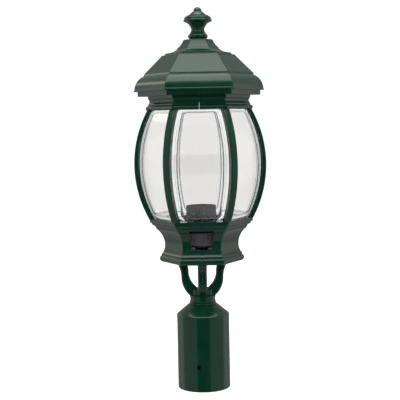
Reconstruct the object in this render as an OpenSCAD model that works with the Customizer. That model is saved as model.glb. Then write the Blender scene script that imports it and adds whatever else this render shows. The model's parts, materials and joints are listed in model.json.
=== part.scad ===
// Hexagonal post-top lantern: a sleeve for a round post, a cage of two half castings that holds
// six bent panes, a lampholder, a lift-off roof and a screw-down finial.
// Millimetres. +Z up, origin at the centre of the sleeve's mouth, -Y is the front, and the seam
// between the two half castings is the plane X = 0. Hexagonal radii are to the corners.

/* [Post sleeve] */
// Diameter of the post that the sleeve slips over
post_d = 60; // [48:0.5:76]
// Gap all round between the post and the sleeve
post_gap = 0.5; // [0.2:0.1:1]
// Thickness of the sleeve's wall
sleeve_wall = 2.8; // [2.2:0.1:4]
// Height of the sleeve's straight wall
sleeve_h = 95.2; // [70:0.2:130]
// Height of the coned shoulder above it
cone_h = 11.6; // [8:0.2:14]
// Radius of the flat on top of the cone
cone_top_r = 19; // [18:0.1:22]
// Thickness of the sleeve's head over the nut space
head_t = 8.5; // [6:0.5:12]
// Depth of the nut space under the head
nut_space_h = 12; // [11:0.5:16]
// Radius of the sleeve's lower outer edge
rim_round = 1.6; // [0.5:0.1:1.8]

/* [Grub screws] */
// Thread diameter of the grub screws
grub_d = 5; // [4:1:6]
// Length of each grub screw
grub_len = 4; // [4:0.5:6]
// Height of the grub screws above the sleeve's mouth
grub_z = 32; // [15:1:60]
// Direction of the first grub screw, from the front towards the left
grub_turn = 11; // [0:1:60]
// Width across flats of the hexagon socket
grub_key = 2.5; // [2:0.5:3]

/* [Collar and arms] */
// Radius of the collar under the arms
collar_r = 16.4; // [15:0.1:18]
// Height of the collar
collar_h = 12.7; // [10:0.1:16]
// Radius of the hub between the arms
hub_r = 14; // [13:0.5:15]
// Height of the hub's top above the sleeve
hub_h = 19.8; // [18:0.2:22]
// Height of the arms above the sleeve
arms_h = 54.8; // [48:0.2:66]
// Radius of the arms' outer edges where their bow ends
arm_out_r = 26.8; // [25:0.2:31]
// Radius of the arms' inner edges where their bow ends
arm_in_r = 17.4; // [15:0.2:20]
// How far the arms flare out between the bow and the top
arm_flare = 6.2; // [3:0.2:8]
// Width of each arm
arm_w = 11.5; // [9:0.5:14]

/* [Cage] */
// Corner radius of the ribs at the belly
belly_r = 83.3; // [76:0.1:100]
// Corner radius of the ribs at their two ends
rib_end_r = 66; // [62:0.2:76]
// Height of the ribs between the ring and the neck
rib_span = 136.1; // [114:0.1:170]
// Width of each rib
rib_w = 8.6; // [7:0.2:11]
// Gap between the two half castings along the seam
seam_gap = 0.4; // [0.2:0.1:0.8]
// Height from the underside of the gallery to the top of the ring
gallery_h = 55; // [50:0.5:66]
// Height of the waist above the underside
waist_h = 22; // [20:0.5:26]
// Corner radius of the waist
waist_r = 46.9; // [44:0.5:52]
// Thickness of the gallery's wall, at the corners
gallery_wall = 3.8; // [3:0.2:5]
// Thickness of the gallery's floor
floor_t = 3; // [3:0.5:5]
// Height of the neck between the ribs and the crown band
neck_h = 18.1; // [16:0.1:24]
// Height of the crown band
band_h = 8.5; // [7:0.1:12]
// How far the crown band stands out past the rib ends
band_out = 11.2; // [9:0.2:14]

/* [Gallery windows] */
// Width of each window at the top
window_top_w = 30.5; // [20:0.5:36]
// Width of each window at the bottom
window_bottom_w = 25.7; // [18:0.5:34]
// Height of each window
window_h = 24; // [16:0.5:26]
// Height of the sill above the underside
sill_h = 19.2; // [17:0.2:22]

/* [Glass] */
// Thickness of the panes
glass_t = 4; // [3:0.5:5]
// Depth of the panes behind the corners of the ribs
glass_in = 4.5; // [3.5:0.25:6]
// Gap between the glass and the metal
glass_gap = 0.3; // [0.2:0.05:0.5]
// Height of the cast pips that the panes stand on
pip_h = 1; // [0.8:0.1:2]
// How far the panes run up behind the neck bead
glass_up = 2.5; // [2:0.25:3]
// Gap between the panes and the clips at the top
clip_gap = 0.4; // [0.2:0.1:0.8]

/* [Roof] */
// How far the roof's lip stands out past the crown band
lip_out = 4.5; // [4:0.1:7]
// How far the lip hangs below the top of the crown band
lip_hang = 2.6; // [2:0.2:4]
// Radius of the round moulding above the lip
moulding_r = 19.8; // [16:0.2:22]
// Height of the slope above the moulding
slope_h = 21.6; // [18:0.5:30]
// How far the slope runs inwards
slope_in = 22; // [18:0.5:28]
// Corner radius of the little neck under the finial
roof_neck_r = 18.3; // [15:0.1:22]
// Radius of the hollow flare around the neck
flare_r = 24; // [18:0.5:24]
// Thickness of the roof's wall
roof_wall = 3; // [2.5:0.25:4]
// Gap between the roof and the crown band
roof_gap = 0.3; // [0.2:0.05:0.5]

/* [Finial] */
// Height of the finial
finial_h = 39.2; // [34:0.1:50]
// Largest radius of the finial
finial_r = 17.9; // [15:0.1:22]
// Radius of the finial's waist
finial_waist_r = 8.2; // [7:0.1:10]
// Radius of the bead at its foot
finial_foot_r = 11.6; // [10:0.2:14]
// Thread diameter of the roof stud
stud_d = 6; // [5:1:8]
// Gap all round between the stud and the finial's bore
stud_gap = 0.06; // [0.03:0.01:0.1]
// Length of stud above the roof
stud_up = 13; // [10:0.5:15]
// Thickness of the finial's washer
washer_t = 0.7; // [0.5:0.1:1.2]

/* [Lampholder] */
// Diameter of the lampholder
holder_d = 38; // [36:0.5:42]
// Height of the cap
cap_h = 16; // [14:0.5:22]
// Height of the skirt
skirt_h = 34.5; // [30:0.5:40]
// Thickness of the skirt's wall
skirt_wall = 2.2; // [1.6:0.1:3]
// Inside diameter of the threaded contact shell
lamp_d = 26.4; // [26:0.1:27]
// Height of the bracket over the floor
bracket_h = 12.5; // [11.5:0.5:20]
// Width of the bracket
bracket_w = 20; // [18:1:26]
// Thickness of the bracket
bracket_t = 1.5; // [1.2:0.1:2.5]
// Diameter of the hollow nipple
nipple_d = 10; // [9:0.5:12]
// Diameter of the leads
lead_d = 2.2; // [1.8:0.1:2.4]

/* [Hidden] */
$fn = 48;
green = [0.02, 0.14, 0.09];
steel = [0.62, 0.63, 0.64];
brass = [0.72, 0.55, 0.25];
black = [0.13, 0.12, 0.14];
eps = 0.01;
cos30 = cos(30);
tan30 = tan(30);

// Levels, from the sleeve's mouth up
z_head = sleeve_h + cone_h;
z_collar_top = z_head + collar_h;
z_hub = z_head + hub_h;
z_under = z_head + arms_h;
z_floor = z_under + floor_t;
z_waist = z_under + waist_h;
z_ring = z_under + gallery_h;
z_belly = z_ring + rib_span / 2;
z_neck = z_ring + rib_span;
z_band = z_neck + neck_h;
z_crown = z_band + band_h;
z_lip = z_crown - lip_hang;
z_slope = z_lip + 2 + moulding_r;
z_step = z_slope + slope_h;
z_roof = z_step + 20.6;
z_finial = z_roof + washer_t + 0.3;

// Radii that follow the driving sizes
bore_r = post_d / 2 + post_gap;
sleeve_r = bore_r + sleeve_wall;
z_stop = z_head - head_t - nut_space_h;
band_r = rib_end_r + band_out;
bead_r = rib_end_r + 1.6;
neck_r = rib_end_r - 3.4;
ring_r = rib_end_r - 0.5;
flange_r = waist_r + 6.9;
lip_r = band_r + lip_out;
slope_r = lip_r - moulding_r * (1 - cos(68)) - 0.4;
step_r = slope_r - slope_in;
rib_sag = belly_r - rib_end_r;
rib_arc = (pow(rib_span / 2, 2) + rib_sag * rib_sag) / (2 * rib_sag);
floor_flat_r = waist_r - 4;
arm_top_r = arm_out_r + arm_flare;
z_bow = z_under - 20;
bead_h = 4.4;
far = 300;

// Threads and screws
bolt_r = 8;
bolt_bore_r = 5.5;
bolt_head_r = 10.5;
bolt_head_h = 4;
bolt_gap = 0.3;
bolt_nut_h = 7;
bolt_nut_flats = 24;
bolt_washer_t = 1.5;
m4_r = 2;
m4_head_r = 3.6;
m4_head_h = 2.4;
m3_r = 1.5;
m3_head_r = 2.7;
m3_head_h = 1.6;
hole_gap = 0.05;
lug_h = 9;
lug_len = 8;
bridge_t = 2.5;
bridge_w = 18;
bridge_z = z_band - bridge_t;
crown_open_r = glass_r(z_neck + glass_up) - (glass_t + clip_gap) / cos30;
bridge_half = crown_open_r - bridge_w / 2 * tan30 - 0.5;
boss_h = 9;

// Points along an arc of radius r about (cx, cz), from angle a0 to a1 in n steps
function arc(cx, cz, r, a0, a1, n) =
    [for (i = [0:n]) [cx + r * cos(a0 + (a1 - a0) * i / n), cz + r * sin(a0 + (a1 - a0) * i / n)]];

// The same points moved sideways by dx, in reverse order
function back_by(points, dx) =
    [for (i = [len(points) - 1:-1:0]) [points[i][0] - dx, points[i][1]]];

// Corner radius of the ribs' outer edge at height z
function belly(z) = belly_r - rib_arc + sqrt(rib_arc * rib_arc - pow(z - z_belly, 2));

// Corner radius of the panes' outer face at height z
function glass_r(z) = belly(z) - glass_in;

function steps(z0, z1, n) = [for (i = [0:n]) z0 + (z1 - z0) * i / n];

// A hexagonal ring with its corners on the X axis, from a profile of corner radius and height
module hexagonal(profile) rotate_extrude($fn = 6) polygon(profile);

module bar_along_x(r, x0, x1) translate([x0, 0, 0]) rotate([0, 90, 0]) cylinder(r = r, h = x1 - x0);

module hex_prism(flats, h) cylinder(r = flats / 2 / cos30, h = h, $fn = 6);

module pan_screw(r, len, head_r, head_h) {
    translate([0, 0, -len]) cylinder(r = r, h = len + eps);
    difference() {
        cylinder(r = head_r, h = head_h);
        translate([-head_r, -0.4, head_h - 0.8]) cube([2 * head_r, 0.8, 1]);
    }
}

// ---- Sleeve ----

module sleeve_outline() polygon(concat(
    [[0, 0], [sleeve_r - rim_round, 0]],
    arc(sleeve_r - rim_round, rim_round, rim_round, -80, 0, 8),
    [[sleeve_r, sleeve_h], [cone_top_r, z_head], [0, z_head]]));

module grub_place(k) rotate([0, 0, -90 - grub_turn + 120 * k]) translate([0, 0, grub_z])
    rotate([0, 90, 0]) children();

module post_sleeve() color(green) difference() {
    rotate_extrude($fn = 96) sleeve_outline();
    translate([0, 0, -1]) cylinder(r = bore_r, h = z_stop + 1, $fn = 96);
    cylinder(r = bore_r - 6.5, h = z_head - head_t);
    cylinder(r = bolt_r + hole_gap, h = far);
    for (k = [0:2]) grub_place(k) cylinder(r = grub_d / 2 + hole_gap, h = far);
}

module grub_screw(k) color(steel) grub_place(k) translate([0, 0, bore_r + 0.3]) difference() {
    cylinder(r = grub_d / 2, h = grub_len);
    translate([0, 0, grub_len - 2]) hex_prism(grub_key, 3);
}
module grub_screw_front() grub_screw(0);
module grub_screw_right() grub_screw(1);
module grub_screw_left() grub_screw(2);

// ---- Hollow bolt that holds the cage on the sleeve, and carries the cable ----

module hollow_bolt() color(steel) difference() {
    union() {
        translate([0, 0, z_stop + 0.5]) cylinder(r = bolt_r, h = z_hub - z_stop - 0.5);
        translate([0, 0, z_hub - bolt_head_h]) cylinder(r = bolt_head_r, h = bolt_head_h);
    }
    cylinder(r = bolt_bore_r, h = far);
}

module bolt_washer() color(steel) translate([0, 0, z_head - head_t - bolt_washer_t]) difference() {
    cylinder(r = 15, h = bolt_washer_t);
    translate([0, 0, -1]) cylinder(r = bolt_r + hole_gap, h = bolt_washer_t + 2);
}

module bolt_nut() color(steel)
    translate([0, 0, z_head - head_t - bolt_washer_t - bolt_nut_h]) difference() {
        hex_prism(bolt_nut_flats, bolt_nut_h);
        translate([0, 0, -1]) cylinder(r = bolt_r + hole_gap, h = bolt_nut_h + 2);
    }

// ---- Cage castings ----

module crown_ring() hexagonal(concat(
    [for (z = steps(z_neck, z_neck + glass_up + 0.5, 2)) [glass_r(z) + glass_gap, z]],
    [[crown_open_r, z_neck + glass_up + 0.5], [crown_open_r, z_crown], [band_r, z_crown]],
    [[band_r, z_band], [neck_r + 1.8, z_band - 0.4]],
    arc(neck_r + 4, z_band - 6.6, 4, 125, 225, 5),
    [[neck_r + 1.8, z_neck + 7.6]],
    arc(bead_r - 2.8, z_neck + 2.9, 2.8, 60, -60, 5)));

// The hollow sides of the gallery, from the ring down to the flange
function gallery_sides() = concat(
    arc(waist_r + 25, z_waist, 25, 126, 180, 6),
    arc(waist_r + 19, z_waist, 19, 190, 211, 3));

function gallery_outer() = concat(
    [[ring_r, z_ring], [ring_r, z_ring - 4.5], [ring_r - 2, z_ring - 5]],
    [[ring_r - 3.4, z_ring - 7.6], [ring_r - 6.4, z_ring - 9]],
    gallery_sides(),
    [[flange_r - 3.2, z_under + 11.6]],
    arc(flange_r - bead_h, z_under + bead_h + 0.2, bead_h, 66, -70, 6));

module gallery_shell() {
    ledge_r = glass_r(z_ring) - glass_t / cos30 - 3.4;
    inner = [for (point = gallery_sides()) [point[0] - gallery_wall, point[1]]];
    difference() {
        hexagonal(concat(gallery_outer(), [[arm_top_r + 1.5, z_under], [0, z_under], [0, z_ring]]));
        hexagonal(concat([[0, z_ring + 1], [ledge_r, z_ring + 1], [ledge_r, z_ring - 8]],
            inner, [[flange_r - 8, z_floor + 2.5], [floor_flat_r, z_floor], [0, z_floor]]));
    }
}

// A rib lies along +X: its outer edge is an arc, and it is cut back to the panes
module rib() rotate([90, 0, 0]) linear_extrude(rib_w, center = true) polygon(concat(
    [for (z = steps(z_ring - 1, z_neck + 1, 24)) [belly(z), z]],
    [for (z = steps(z_neck + 1, z_ring - 1, 12)) [belly(z) - 12, z]]));

module glass_space() hexagonal(concat(
    [for (z = steps(z_ring - 1.5, z_neck + glass_up + 0.5, 18)) [glass_r(z) + glass_gap, z]],
    [[0, z_neck + glass_up + 0.5], [0, z_ring - 1.5]]));

// An arm lies along +X. Both edges bow out from the hub, then flare out to the floor
function bow_radius(rise, run) = (rise * rise + run * run) / (2 * run);

module arm() {
    out_foot = z_collar_top - 1;
    out_rise = z_bow - out_foot;
    out_bow = bow_radius(out_rise, arm_out_r - collar_r - 0.4);
    in_foot = z_hub + 3;
    in_top = z_bow + 7;
    in_rise = in_top - in_foot;
    in_bow = bow_radius(in_rise, arm_in_r - 8.5);
    flare_h = z_under - z_bow;
    flare = bow_radius(flare_h, arm_flare);
    in_flare_h = z_under - in_top;
    in_flare = bow_radius(in_flare_h, arm_flare / 2);
    rotate([90, 0, 0]) linear_extrude(arm_w, center = true) polygon(concat(
        arc(arm_out_r - out_bow, z_bow, out_bow, -asin(out_rise / out_bow), 0, 9),
        arc(arm_out_r + flare, z_bow, flare, 180 - asin(flare_h / flare) / 6, 180 - asin(flare_h / flare), 5),
        arc(arm_in_r + in_flare, in_top, in_flare, 180 - asin(in_flare_h / in_flare), 180, 4),
        arc(arm_in_r - in_bow, in_top, in_bow, -1, -asin(in_rise / in_bow), 7),
        [[0, z_hub - 1], [0, z_collar_top - 1]]));
}

module collar() rotate_extrude() polygon(concat(
    [[0, z_head], [collar_r + 0.7, z_head]],
    arc(collar_r - 0.3, z_head + 1.4, 1.2, -50, 50, 4),
    [[collar_r - 0.7, z_head + 2.9]],
    arc(collar_r - 1, z_head + 4.2, 1.1, -60, 60, 4),
    [[collar_r - 0.6, z_head + 6.4], [collar_r, z_collar_top - 3]],
    [[collar_r, z_collar_top - 1], [hub_r, z_collar_top], [hub_r, z_hub], [0, z_hub]]));

module window_cut() {
    z = z_under + sill_h;
    rotate([90, 0, 0]) linear_extrude(far, center = true) polygon([
        [-window_bottom_w / 2, z], [window_bottom_w / 2, z],
        [window_top_w / 2, z + window_h], [-window_top_w / 2, z + window_h]]);
}

lug_y_top = crown_open_r * cos30 + 1.5;
lug_y_low = (flange_r - 5) * cos30 + 1.2;
z_lug_top = z_crown - 1 - lug_h;
z_lug_low = z_under + 1.2;

// Lugs beside the seam, one pair in the crown and one pair on the floor; side is 1 or -1
module seam_lugs(side) for (turn = [0, 180]) rotate([0, 0, turn]) {
    lug_side = (turn == 0) ? side : -side;
    x0 = (lug_side > 0) ? 0 : -lug_len;
    translate([x0, lug_y_top - lug_h, z_lug_top]) cube([lug_len, lug_h, lug_h]);
    translate([x0, lug_y_low - lug_h - 2, z_lug_low]) cube([lug_len, lug_h + 2, lug_h]);
}

module seam_screw_places() for (turn = [0, 180]) rotate([0, 0, turn]) {
    translate([0, lug_y_top - lug_h / 2 - 1, z_lug_top + lug_h / 2]) children();
    translate([0, lug_y_low - lug_h / 2 - 3.2, z_floor + m4_head_r + 0.4]) children();
}

module bridge_bosses() for (s = [0, 180]) rotate([0, 0, s])
    translate([crown_open_r - 18, -7, bridge_z - boss_h]) cube([20, 14, boss_h]);

clip_z = z_neck + glass_up + 7;
module clip_places() for (k = [0:5]) rotate([0, 0, 30 + 60 * k])
    translate([crown_open_r * cos30, clip_x(k), clip_z]) children();
function clip_x(k) = (k == 1 || k == 4) ? 14 : 0;

module whole_cage() difference() {
    union() {
        crown_ring();
        gallery_shell();
        difference() {
            for (k = [0:5]) rotate([0, 0, 60 * k]) rib();
            glass_space();
        }
        for (k = [0:5]) rotate([0, 0, 30 + 60 * k]) for (s = [-1, 1])
            translate([glass_r(z_ring) * cos30 - glass_t, s * 16 - 3, z_ring - eps])
                cube([glass_t - 0.5, 6, pip_h + eps]);
        bridge_bosses();
    }
    window_cut();
    translate([0, 0, z_under - 1]) cylinder(r = bolt_r + bolt_gap, h = floor_t + 2);
    for (s = [-1, 1]) {
        translate([s * bridge_hole_x, 0, bridge_z - 8]) cylinder(r = m4_r + hole_gap, h = 9);
        translate([s * foot_x, 0, z_under - 1]) cylinder(r = m4_r + hole_gap, h = floor_t + 2);
    }
    translate([-earth_x, earth_y, z_under - 1]) cylinder(r = m4_r + hole_gap, h = floor_t + 2);
    translate([terminal_w / 2 - 4, terminal_y, z_under - 1])
        cylinder(r = m3_r + hole_gap, h = floor_t + 2);
    clip_places() rotate([0, 90, 0]) cylinder(r = m3_r + hole_gap, h = 4);
}

module all_arms() difference() {
    union() {
        for (k = [0:3]) rotate([0, 0, 90 * k]) arm();
        collar();
    }
    translate([0, 0, z_head - 1]) cylinder(r = bolt_r + bolt_gap, h = far);
    translate([0, 0, z_hub - bolt_head_h]) cylinder(r = bolt_head_r + bolt_gap, h = bolt_head_h + 1);
}

// What lies on one side of the seam; side is 1 for the right and -1 for the left
module beside_seam(side) intersection() {
    children();
    translate([side > 0 ? seam_gap / 2 : -far - seam_gap / 2, -far / 2, 0]) cube([far, far, 2 * far]);
}

module cage_half(side) color(green) difference() {
    union() {
        beside_seam(side) whole_cage();
        seam_lugs(side);
    }
    seam_screw_places() bar_along_x(m4_r + hole_gap, -lug_len - 1, lug_len + 1);
}
module cage_left() cage_half(-1);
module cage_right() cage_half(1);
module arms_left() color(green) beside_seam(-1) all_arms();
module arms_right() color(green) beside_seam(1) all_arms();

module seam_screws() color(steel) seam_screw_places()
    translate([-lug_len, 0, 0]) rotate([0, -90, 0]) pan_screw(m4_r, 2 * lug_len - 1, m4_head_r,
        m4_head_h);

// ---- Glass ----

// A pane is a plate bent one way, cut to a barrel outline, with rounded corners
module pane(k) {
    z0 = z_ring + pip_h + 0.1;
    z1 = z_neck + glass_up;
    edge = glass_t * tan30 + 0.4;
    levels = steps(z0, z1, 18);
    color([0.8, 0.88, 0.9, 0.35]) rotate([0, 0, -90 + 60 * k]) intersection() {
        rotate([90, 0, 0]) linear_extrude(far, center = true) polygon(concat(
            [for (z = levels) [glass_r(z) * cos30, z]],
            [for (i = [len(levels) - 1:-1:0]) [glass_r(levels[i]) * cos30 - glass_t, levels[i]]]));
        rotate([90, 0, 90]) linear_extrude(far) polygon(concat(
            [for (z = levels) [glass_r(z) / 2 - edge, z]],
            [for (i = [len(levels) - 1:-1:0]) [edge - glass_r(levels[i]) / 2, levels[i]]]));
    }
}
module pane_front() pane(0);
module pane_front_right() pane(1);
module pane_back_right() pane(2);
module pane_back() pane(3);
module pane_back_left() pane(4);
module pane_front_left() pane(5);

clip_w = 10;
clip_t = 1;
module glass_clips() color(steel) clip_places() difference() {
    translate([-clip_t, -clip_w / 2, -9]) cube([clip_t, clip_w, 14]);
    translate([-clip_t - 1, 0, 0]) rotate([0, 90, 0]) cylinder(r = m3_r + hole_gap, h = 4);
}

module clip_screws() color(steel) clip_places()
    translate([-clip_t, 0, 0]) rotate([0, -90, 0]) pan_screw(m3_r, clip_t + 3, m3_head_r, m3_head_h);

// ---- Lampholder ----

z_bracket = z_floor + bracket_h;
nut_t = 3;
z_holder = z_bracket + nut_t;
boss_len = 3;
z_cap = z_holder + boss_len;
z_skirt = z_cap + cap_h;
z_rim = z_skirt + skirt_h;
leg_x = 18;
foot_x = 24;
foot_end = 29;
terminal_y = 25;
terminal_w = 30;
terminal_d = 11;
terminal_h = 11;
earth_x = 20;
earth_y = 17;
bridge_hole_x = crown_open_r - 12;
insert_h = 12;
z_insert = z_skirt - 4;
shell_t = 0.6;

module lampholder_bracket() color(steel) difference() {
    union() {
        translate([-leg_x, -bracket_w / 2, z_bracket - bracket_t]) cube([2 * leg_x, bracket_w, bracket_t]);
        for (s = [0, 180]) rotate([0, 0, s]) {
            translate([leg_x - bracket_t, -bracket_w / 2, z_floor])
                cube([bracket_t, bracket_w, bracket_h]);
            translate([leg_x - bracket_t, -bracket_w / 2, z_floor])
                cube([foot_end - leg_x + bracket_t, bracket_w, bracket_t]);
        }
    }
    translate([0, 0, z_bracket - bracket_t - 1])
        cylinder(r = nipple_d / 2 + hole_gap, h = bracket_t + 2);
    for (s = [-1, 1]) translate([s * foot_x, 0, z_floor - 1])
        cylinder(r = m4_r + hole_gap, h = bracket_t + 2);
}

module bracket_screws() color(steel) for (s = [-1, 1]) translate([s * foot_x, 0, z_floor + bracket_t])
    pan_screw(m4_r, bracket_t + floor_t - 0.5, m4_head_r, m4_head_h);

module lampholder_nipple() color(brass) translate([0, 0, z_bracket - bracket_t - nut_t - 0.5])
    difference() {
        cylinder(r = nipple_d / 2, h = bracket_t + 2 * nut_t + boss_len + 2.5);
        translate([0, 0, -1]) cylinder(r = nipple_d / 2 - 1.8, h = far);
    }

module nipple_nuts() color(steel) for (z = [z_bracket - bracket_t - nut_t, z_bracket])
    translate([0, 0, z]) difference() {
        hex_prism(nipple_d + 4, nut_t);
        translate([0, 0, -1]) cylinder(r = nipple_d / 2 + hole_gap, h = nut_t + 2);
    }

// The ribbed outline of the lampholder: a circle with shallow flutes
module fluted(flutes) difference() {
    circle(r = holder_d / 2, $fn = 96);
    for (i = [0:flutes - 1]) rotate([0, 0, (i + 0.5) * 360 / flutes])
        translate([holder_d / 2 + 0.35, 0]) circle(r = 0.9, $fn = 16);
}

module lampholder_cap() color(black) difference() {
    union() {
        translate([0, 0, z_holder]) cylinder(r = 8.5, h = boss_len + 1);
        translate([0, 0, z_cap]) linear_extrude(cap_h - 0.2) fluted(36);
    }
    translate([0, 0, z_holder - 1]) cylinder(r = nipple_d / 2 + hole_gap, h = far);
    translate([0, 0, z_cap + 2]) cylinder(r = holder_d / 2 - 3, h = z_insert - z_cap - 2 - 0.2);
    translate([0, 0, z_insert - 0.2]) cylinder(r = holder_d / 2 - skirt_wall - 0.2, h = far);
}

module lampholder_skirt() color(black) translate([0, 0, z_skirt]) difference() {
    linear_extrude(skirt_h) fluted(36);
    translate([0, 0, -1]) cylinder(r = holder_d / 2 - skirt_wall, h = far);
}

module lampholder_insert() color([0.93, 0.92, 0.88]) translate([0, 0, z_insert]) difference() {
    cylinder(r = holder_d / 2 - skirt_wall - 0.3, h = insert_h);
    for (s = [-1, 1]) translate([s * 1.4, 0, -1]) cylinder(r = lead_d / 2 + hole_gap, h = 4);
}

module contact_shell() color(brass) translate([0, 0, z_insert + insert_h]) difference() {
    cylinder(r = lamp_d / 2 + shell_t, h = 20);
    translate([0, 0, -1]) cylinder(r = lamp_d / 2, h = 22);
}

module centre_contact() color(brass) translate([0, 0, z_insert + insert_h]) {
    cylinder(r = 4, h = 1.5);
    translate([0, 0, 1]) cylinder(r = 2.2, h = 3.5);
}

// ---- Wiring ----

z_terminal = z_floor;
lead_z = z_terminal + 3.5;
lead_bend = 4;
lead_y = terminal_y - terminal_d / 2 + 4;

module terminal_block() color([0.9, 0.9, 0.87]) difference() {
    translate([-terminal_w / 2, terminal_y - terminal_d / 2, z_terminal])
        cube([terminal_w, terminal_d, terminal_h]);
    for (s = [-1, 1]) {
        translate([s * 1.4, terminal_y - terminal_d / 2 - 1, lead_z]) rotate([-90, 0, 0])
            cylinder(r = lead_d / 2 + hole_gap, h = 5.2);
        translate([s * 4.6, terminal_y, z_terminal + 5]) cylinder(r = m3_r + hole_gap, h = far);
    }
    translate([terminal_w / 2 - 4, terminal_y, z_terminal - 1])
        cylinder(r = m3_r + hole_gap, h = far);
}

module terminal_screws() color(steel) {
    for (s = [-1, 1]) translate([s * 4.6, terminal_y, z_terminal + terminal_h])
        pan_screw(m3_r, 5, m3_head_r, m3_head_h);
    translate([terminal_w / 2 - 4, terminal_y, z_terminal + terminal_h])
        pan_screw(m3_r, terminal_h + floor_t - 0.5, m3_head_r, m3_head_h);
}

module earth_screw() color(brass) translate([-earth_x, earth_y, z_floor])
    pan_screw(m4_r, floor_t - 0.5, m4_head_r, m4_head_h);

// A lead runs down through the nipple, turns to the back and ends in the terminal block
module lead(x) translate([x, 0, 0]) {
    translate([0, 0, lead_z + lead_bend]) cylinder(r = lead_d / 2, h = z_insert + 2.5 - lead_z - lead_bend);
    translate([0, lead_bend, lead_z + lead_bend]) rotate([0, -90, 0]) rotate([0, 0, 180])
        rotate_extrude(angle = 90) translate([lead_bend, 0]) circle(r = lead_d / 2);
    translate([0, lead_bend, lead_z]) rotate([-90, 0, 0]) cylinder(r = lead_d / 2, h = lead_y - lead_bend);
}
module lead_live() color([0.45, 0.2, 0.08]) lead(1.4);
module lead_neutral() color([0.05, 0.2, 0.6]) lead(-1.4);

// ---- Roof and finial ----

module roof_bridge() color(steel) difference() {
    translate([-bridge_half, -bridge_w / 2, bridge_z]) cube([2 * bridge_half, bridge_w, bridge_t]);
    translate([0, 0, bridge_z - 1]) cylinder(r = stud_d / 2 + hole_gap, h = bridge_t + 2);
    for (s = [-1, 1]) translate([s * bridge_hole_x, 0, bridge_z - 1])
        cylinder(r = m4_r + hole_gap, h = bridge_t + 2);
}

module bridge_screws() color(steel) for (s = [-1, 1])
    translate([s * bridge_hole_x, 0, bridge_z + bridge_t])
        pan_screw(m4_r, bridge_t + 7, m4_head_r, m4_head_h);

stud_nut_h = 5;
module roof_stud() color(steel) translate([0, 0, bridge_z - stud_nut_h - 1])
    cylinder(r = stud_d / 2, h = z_roof + stud_up - bridge_z + stud_nut_h + 1);

module stud_nuts() color(steel) for (z = [bridge_z - stud_nut_h, bridge_z + bridge_t])
    translate([0, 0, z]) difference() {
        hex_prism(stud_d + 4, stud_nut_h);
        translate([0, 0, -1]) cylinder(r = stud_d / 2 + hole_gap, h = stud_nut_h + 2);
    }

// The roof's outline from the neck down to the lip: hollow flare, thin step, slope, round moulding
function roof_outer() = concat(
    arc(roof_neck_r + flare_r - 0.6, z_roof + 7.3, flare_r, 198, 260, 6),
    [[step_r - 5.2, z_step + 3.9], [step_r - 5.2, z_step + 2.4], [step_r - 0.6, z_step + 0.9]],
    [[step_r, z_step], [slope_r, z_slope], [slope_r + 0.4, z_slope - 1.2]],
    arc(lip_r - moulding_r, z_lip + 1.6, moulding_r, 68, 0, 7));

module roof_shell() color(green) {
    seat_r = band_r + 2 * roof_gap;
    difference() {
        hexagonal(concat([[0, z_roof]], roof_outer(),
            [[lip_r, z_lip], [seat_r, z_lip], [seat_r, z_crown + roof_gap]],
            [[band_r - 8, z_crown + roof_gap], [band_r - 8, z_crown + 6]],
            [[slope_r - roof_wall * 1.6, z_slope - roof_wall], [step_r - roof_wall * 1.6, z_step - roof_wall]],
            [[roof_neck_r + 3, z_step - roof_wall], [roof_neck_r - 4, z_roof - 8], [0, z_roof - 8]]));
        cylinder(r = stud_d / 2 + 0.5, h = 3 * far);
    }
}

module finial_washer() color(steel) translate([0, 0, z_roof + 0.1]) difference() {
    cylinder(r = 9, h = washer_t);
    translate([0, 0, -1]) cylinder(r = stud_d / 2 + 0.3, h = washer_t + 2);
}

// The finial: foot bead, waist, flared dish with a beaded edge, dome and button
module finial() color(green) {
    z0 = z_finial;
    z1 = z0 + finial_h;
    z_edge = z0 + finial_h * 0.59;
    dome = finial_r - 3.8;
    difference() {
        rotate_extrude($fn = 72) polygon(concat(
            [[0, z0], [finial_foot_r - 1, z0]],
            arc(finial_foot_r - 2, z0 + 3, 2.9, -60, 60, 6),
            [[finial_waist_r + 1, z0 + 7.6]],
            arc(finial_waist_r + 5, z0 + 11.4, 5, 222, 150, 6),
            [[finial_waist_r + 3.2, z0 + 18.2], [finial_r - 2.6, z_edge - 2.6]],
            arc(finial_r - 1.6, z_edge - 0.6, 1.6, -70, 70, 5),
            arc(finial_r - 2.4, z_edge + 2.4, 1.4, -40, 60, 4),
            [[dome, z_edge + 5], [dome - 4.6, z_edge + 7.4], [dome - 5.2, z1 - 7.8]],
            [[dome - 7.2, z1 - 6.2]],
            arc(0, z1 - 5.2, 5.2, 0, 90, 7)));
        translate([0, 0, z0 - 1]) cylinder(r = stud_d / 2 + stud_gap, h = stud_up + 1.5);
    }
}

post_sleeve();
grub_screw_front();
grub_screw_right();
grub_screw_left();
hollow_bolt();
bolt_washer();
bolt_nut();
arms_left();
arms_right();
cage_left();
cage_right();
seam_screws();
pane_front();
pane_front_right();
pane_back_right();
pane_back();
pane_back_left();
pane_front_left();
glass_clips();
clip_screws();
lampholder_bracket();
bracket_screws();
lampholder_nipple();
nipple_nuts();
lampholder_cap();
lampholder_skirt();
lampholder_insert();
contact_shell();
centre_contact();
terminal_block();
terminal_screws();
earth_screw();
lead_live();
lead_neutral();
roof_bridge();
bridge_screws();
roof_stud();
stud_nuts();
roof_shell();
finial_washer();
finial();
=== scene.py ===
import json
import math
import bmesh
import bpy
import numpy as np
from mathutils import Matrix, Vector


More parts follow.
